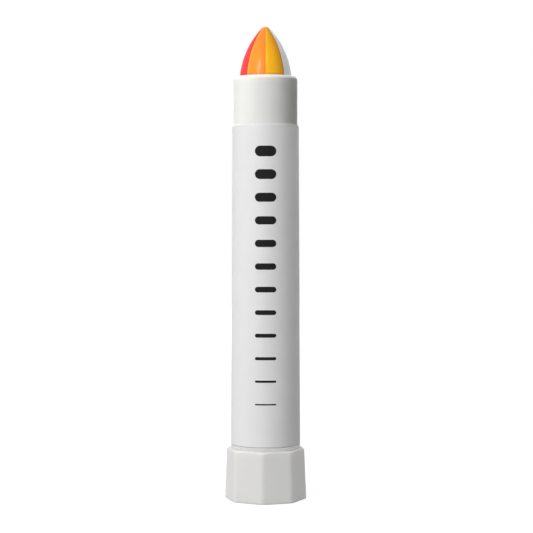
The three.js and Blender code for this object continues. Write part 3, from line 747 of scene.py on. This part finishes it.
def press_lumps(piece):
    """Moves the paint's outer skin in and out a little, as a cast and handled surface is."""
    for vertex in piece.data.vertices:
        place = vertex.co
        radius = math.hypot(place.x, place.y)
        if place.z < CUP_TOP + LUMP_MARGIN or radius < POINT_MARGIN:
            continue
        if place.z < SPINDLE_BORE_TOP + LUMP_MARGIN and radius < SPINDLE_BORE + LUMP_MARGIN:
            continue
        lump = noise.noise(place / LUMP_SIZE) + 0.5 * noise.noise(place / SMALL_LUMP_SIZE)
        outwards = Vector((place.x, place.y, 0)) / radius
        vertex.co = place + outwards * (lump - 0.5) * LUMP_DEPTH


def paint_skin():
    """Solid paint: streaks, pits, sunken joints, painted shade where it meets the rim, and painted light and
    shade at each sector's start and end.
    """
    group, given, result = new_group(
        "paint_skin",
        [
            ("Colour", "NodeSocketColor", (0.9, 0.3, 0.05, 1)),
            ("Deep and shade colour", "NodeSocketColor", (0.8, 0.2, 0.02, 1)),
            ("Painted light start", "NodeSocketFloat", 1.0),
            ("Warm shade end", "NodeSocketFloat", 0.0),
        ],
        [
            ("Colour", "NodeSocketColor"),
            ("Roughness", "NodeSocketFloat"),
            ("Height", "NodeSocketFloat"),
        ],
    )
    place = add_node(group, "ShaderNodeTexCoord").outputs["Object"]
    axes = add_node(group, "ShaderNodeSeparateXYZ", {0: place}).outputs
    streaks = noise_at(group, place, 2.2, stretch=(1, 1, 0.07), detail=4)
    clouds = noise_at(group, place, 0.35, detail=3)
    pits = noise_at(group, place, 4, detail=3)
    # Painted shade: a deeper band where the paint goes into the barrel's rim, just above it and inside it.
    above_rim = spread(group, axes["Z"], RIM_HEIGHT + 0.35 * MM, RIM_HEIGHT + RIM_SHADE_ABOVE, 1, 0)
    below_rim = spread(group, axes["Z"], RIM_HEIGHT - RIM_SHADE_BELOW, RIM_HEIGHT - 0.2 * MM)
    rim_shade = math_node(group, "MULTIPLY", math_node(group, "MULTIPLY", above_rim, below_rim), 0.5)
    turn = math_node(group, "ARCTAN2", axes["Y"], axes["X"])
    share = math_node(group, "FRACT", math_node(group, "MULTIPLY", turn, SECTORS / (2 * math.pi)))
    flat = add_node(group, "ShaderNodeCombineXYZ", {0: axes["X"], 1: axes["Y"]}).outputs[0]
    radius = add_node(group, "ShaderNodeVectorMath", {0: flat}, operation="LENGTH").outputs["Value"]
    width = math_node(group, "MULTIPLY", radius, 2 * math.pi / SECTORS)
    from_start = math_node(group, "MULTIPLY", share, width)
    from_end = math_node(group, "SUBTRACT", width, from_start)
    from_joint = math_node(group, "MINIMUM", from_start, from_end)
    joint = spread(group, from_joint, 0.03 * MM, JOINT_WIDTH, 1, 0)
    # Painted light: a paler band along the joint where each sector starts, on its lit side.
    painted_light_side = spread(group, from_start, 0.1 * MM, PAINTED_LIGHT_WIDTH, 1, 0)
    # Painted shade: a deeper band along the joint where each sector ends, on its shaded side.
    painted_shade_side = spread(group, from_end, 0.08 * MM, SHADED_SIDE_WIDTH, 1, 0)
    # The deep share holds the real streaks, a deeper tone towards the point, and painted shade at the rim and
    # at each sector's end.
    deep_tone_and_shade = math_node(group, "MULTIPLY", spread(group, streaks, 0.45, 0.72), 0.18)
    near_point = spread(group, axes["Z"], RIM_HEIGHT + 3 * MM, RIM_HEIGHT + 9 * MM, 0, 0.3)
    # Painted shade: each sector grows deeper over its last millimetres, where it turns away from the light.
    painted_turn_shade = spread(group, from_end, 0, SHADE_TURN_WIDTH, 0.16, 0)
    deep_tone_and_shade = math_node(group, "MAXIMUM", deep_tone_and_shade, math_node(group, "ADD", near_point, painted_turn_shade))
    deep_tone_and_shade = math_node(group, "MAXIMUM", deep_tone_and_shade, rim_shade)
    deep_tone_and_shade = math_node(group, "MAXIMUM", deep_tone_and_shade, math_node(group, "MULTIPLY", painted_shade_side, 0.8))
    # Painted shade: the colour turns warmer and richer towards each sector's end, on its shaded side.
    warm_shade_side = spread(group, from_end, 0, WARM_SHADE_WIDTH, 1, 0, "LINEAR")
    warm_shade_share = math_node(group, "MULTIPLY", warm_shade_side, given["Warm shade end"])
    warmer_shade = add_node(group, "ShaderNodeGamma", {"Color": given["Colour"], "Gamma": 1.3}).outputs[0]
    colour = blend_colours(group, warm_shade_share, given["Colour"], warmer_shade)
    # Painted light: the paler colour of each sector's lit side.
    painted_paler = add_node(group, "ShaderNodeGamma", {"Color": given["Colour"], "Gamma": 0.8}).outputs[0]
    painted_light_share = math_node(group, "MULTIPLY", painted_light_side, given["Painted light start"])
    colour = blend_colours(group, painted_light_share, colour, painted_paler)
    colour = blend_colours(group, deep_tone_and_shade, colour, given["Deep and shade colour"])
    group.links.new(colour, result["Colour"])
    rough = spread(group, clouds, 0.3, 0.7, 0.17, 0.24)
    rough = math_node(group, "MULTIPLY_ADD", spread(group, streaks, 0.4, 0.7), 0.06, rough)
    group.links.new(rough, result["Roughness"])
    height = math_node(group, "MULTIPLY_ADD", streaks, 0.8, math_node(group, "MULTIPLY", pits, 0.5))
    height = math_node(group, "MULTIPLY_ADD", joint, -0.3, height)
    group.links.new(height, result["Height"])
    return group


paint_group = paint_skin()
paint_materials = {}
for slot, (colour, deep_and_shade_colour, painted_light_start, warm_shade_end, gloss) in PAINT_COLOURS.items():
    material, tree, shader = new_material(slot)
    skin = add_node(tree, "ShaderNodeGroup", {
        "Colour": colour,
        "Deep and shade colour": deep_and_shade_colour,
        "Painted light start": painted_light_start,
        "Warm shade end": warm_shade_end,
    }, node_tree=paint_group)
    tree.links.new(skin.outputs["Colour"], shader.inputs["Base Color"])
    tree.links.new(skin.outputs["Roughness"], shader.inputs["Roughness"])
    bump_from(tree, shader, skin.outputs["Height"], STREAK_DEPTH)
    set_inputs(shader, {
        "Specular IOR Level": gloss,
        "Subsurface Weight": 0.1,
        "Subsurface Scale": 0.2 * MM,
    })
    paint_materials[slot] = material

sweep = 2 * math.pi / SECTORS
for number, (node, slot) in enumerate(PAINTS.items()):
    wedge = turned(node + "_wedge", stick_outline(), SECTOR_STEPS, number * sweep, sweep)
    press_lumps(wedge)
    wedge.data.materials.append(paint_materials[slot])
    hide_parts(node)
    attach(wedge, "stick")


# Studio: a white floor that keeps the soft shadow, and a white surround that is seen and mirrored at plain
# white but throws little light. Most soft boxes give light without their own image in glossy pieces, and
# two panels at the right are only mirrored.
FLOOR_REACH = 4
FLOOR_GLOW = 0.86
GLOW_FULL_FROM = 0.5
GLOW_GROWS_FROM = 0.1
FLOOR_GREY = (0.22, 0.22, 0.22, 1)
PLAIN_WHITE = (1, 1, 1, 1)
SURROUND_LIGHT = 0.015
LAMP_AIM_HEIGHT = 60 * MM


def seen_directly(tree):
    """1 for rays that show a background: straight from the camera, mirrored or passed through."""
    path = add_node(tree, "ShaderNodeLightPath").outputs
    first = math_node(tree, "MAXIMUM", path["Is Camera Ray"], path["Is Glossy Ray"])
    return math_node(tree, "MAXIMUM", first, path["Is Transmission Ray"])


floor = new_piece("floor", [
    (-FLOOR_REACH, -FLOOR_REACH, 0),
    (FLOOR_REACH, -FLOOR_REACH, 0),
    (FLOOR_REACH, FLOOR_REACH, 0),
    (-FLOOR_REACH, FLOOR_REACH, 0),
], [(0, 1, 2, 3)])
floor_material = bpy.data.materials.new("floor_white")
floor_material.use_nodes = True
floor_tree = floor_material.node_tree
floor_tree.nodes.clear()
paper = add_node(floor_tree, "ShaderNodeBsdfDiffuse", {"Color": FLOOR_GREY})
floor_place = add_node(floor_tree, "ShaderNodeTexCoord").outputs["Object"]
floor_reach = add_node(floor_tree, "ShaderNodeVectorMath", {0: floor_place}, operation="LENGTH")
from_marker = floor_reach.outputs["Value"]
glow_here = spread(floor_tree, from_marker, GLOW_GROWS_FROM, GLOW_FULL_FROM, FLOOR_GLOW, 1)
glow_strength = math_node(floor_tree, "MULTIPLY", seen_directly(floor_tree), glow_here)
glow = add_node(floor_tree, "ShaderNodeEmission", {"Color": PLAIN_WHITE, "Strength": glow_strength})
both = add_node(floor_tree, "ShaderNodeAddShader", {0: paper.outputs[0], 1: glow.outputs[0]})
add_node(floor_tree, "ShaderNodeOutputMaterial", {"Surface": both.outputs[0]})
floor.data.materials.append(floor_material)

world = bpy.data.worlds.new("surround")
bpy.context.scene.world = world
world.use_nodes = True
world_tree = world.node_tree
world_tree.nodes.clear()
world_strength = spread(world_tree, seen_directly(world_tree), 0, 1, SURROUND_LIGHT, 1, "LINEAR")
surround_inputs = {"Color": PLAIN_WHITE, "Strength": world_strength}
surround = add_node(world_tree, "ShaderNodeBackground", surround_inputs)
add_node(world_tree, "ShaderNodeOutputWorld", {"Surface": surround.outputs[0]})

scene = bpy.context.scene
scene.view_settings.view_transform = "Standard"


def soft_lamp(name, azimuth, elevation, distance, width, height, radiance, mirrored=True, lights=True):
    """A soft box that faces the marker, with its angles in degrees and its sizes in metres. It may leave out
    its mirror image or its light. Azimuth 0 is the camera's side, and negative is to its left."""
    turn = math.radians(azimuth)
    lift = math.radians(elevation)
    middle = Vector((0, 0, LAMP_AIM_HEIGHT))
    away = Vector((math.sin(turn) * math.cos(lift), -math.cos(turn) * math.cos(lift), math.sin(lift)))
    lamp_data = bpy.data.lights.new(name, "AREA")
    lamp_data.shape = "RECTANGLE"
    lamp_data.size = width
    lamp_data.size_y = height
    lamp_data.energy = radiance * math.pi * width * height
    lamp = bpy.data.objects.new(name, lamp_data)
    lamp.location = middle + away * distance
    lamp.rotation_euler = away.to_track_quat("Z", "Y").to_euler()
    lamp.visible_camera = False
    lamp.visible_glossy = mirrored
    lamp.visible_diffuse = lights
    scene.collection.objects.link(lamp)


soft_lamp("key_box", -46, 30, 1.4, 0.6, 0.8, 6.9, mirrored=False)
soft_lamp("gleam_strip", -32, 27, 1.4, 0.3, 0.44, 9)
soft_lamp("right_panel", 42, 8, 0.8, 0.7, 0.9, 0.3, lights=False)
soft_lamp("rear_right_panel", 122, 6, 0.8, 0.6, 0.8, 0.6, lights=False)
soft_lamp("high_left_box", -55, 60, 1, 0.8, 0.8, 0.7, mirrored=False)
soft_lamp("side_box", -90, 10, 0.8, 0.65, 0.8, 1.3, mirrored=False)
soft_lamp("front_fill", -5, 36, 1.2, 0.8, 0.8, 2.1, mirrored=False)
soft_lamp("back_box", 170, 25, 0.8, 0.7, 0.7, 2.6, mirrored=False)
soft_lamp("top_box", 0, 85, 0.8, 0.7, 0.7, 0.9, mirrored=False)


# Camera: a little above the middle of the marker and tilted very slightly down, with a long lens. Lens and
# sensor are in millimetres.
CAMERA_DISTANCE = 374.5 * MM
CAMERA_HEIGHT = 67.45 * MM
CAMERA_SIDESTEP = 0.22 * MM
CAMERA_TILT = math.radians(-1.5)
LENS = 102
SENSOR_WIDTH = 36
NEAR_CLIP = 10 * MM

camera_data = bpy.data.cameras.new("camera")
camera_data.lens = LENS
camera_data.sensor_width = SENSOR_WIDTH
camera_data.clip_start = NEAR_CLIP
camera = bpy.data.objects.new("camera", camera_data)
camera.location = (CAMERA_SIDESTEP, -CAMERA_DISTANCE, CAMERA_HEIGHT)
camera.rotation_euler = (math.pi / 2 + CAMERA_TILT, 0, 0)
scene.collection.objects.link(camera)
scene.camera = camera
